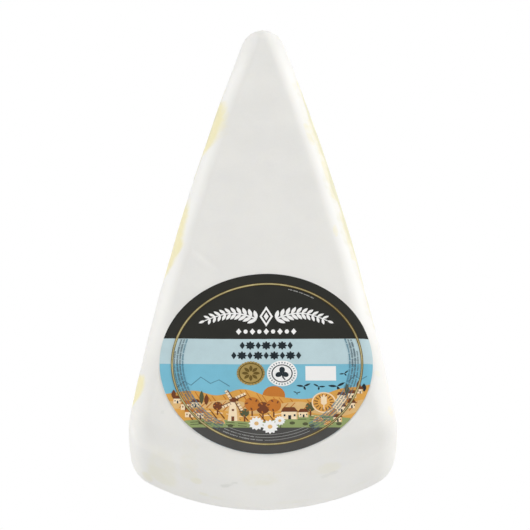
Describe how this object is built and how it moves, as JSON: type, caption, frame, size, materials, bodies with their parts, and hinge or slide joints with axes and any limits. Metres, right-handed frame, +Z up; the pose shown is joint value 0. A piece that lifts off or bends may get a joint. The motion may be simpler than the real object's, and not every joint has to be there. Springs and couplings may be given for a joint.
{
  "type": "brie wedge",
  "caption": "Long moulded wedge of soft white-rinded cheese with rounded edges and a blunt point, and a round paper label lying on its top.",
  "frame": {"origin": "middle of the wedge's length and width, on the surface that it rests on", "axes": "+Y from the broad heel towards the point, +Z up, out of the labelled top; +X to the right seen from the heel"},
  "size_m": [0.1255, 0.2649, 0.0448],
  "materials": {
    "rind": "soft white cheese rind, matte and velvety",
    "label_paper": "coated label paper, slightly glossy"
  },
  "bodies": {
    "root": {"cheese": "rind", "label": "label_paper"}
  },
  "joints": []
}
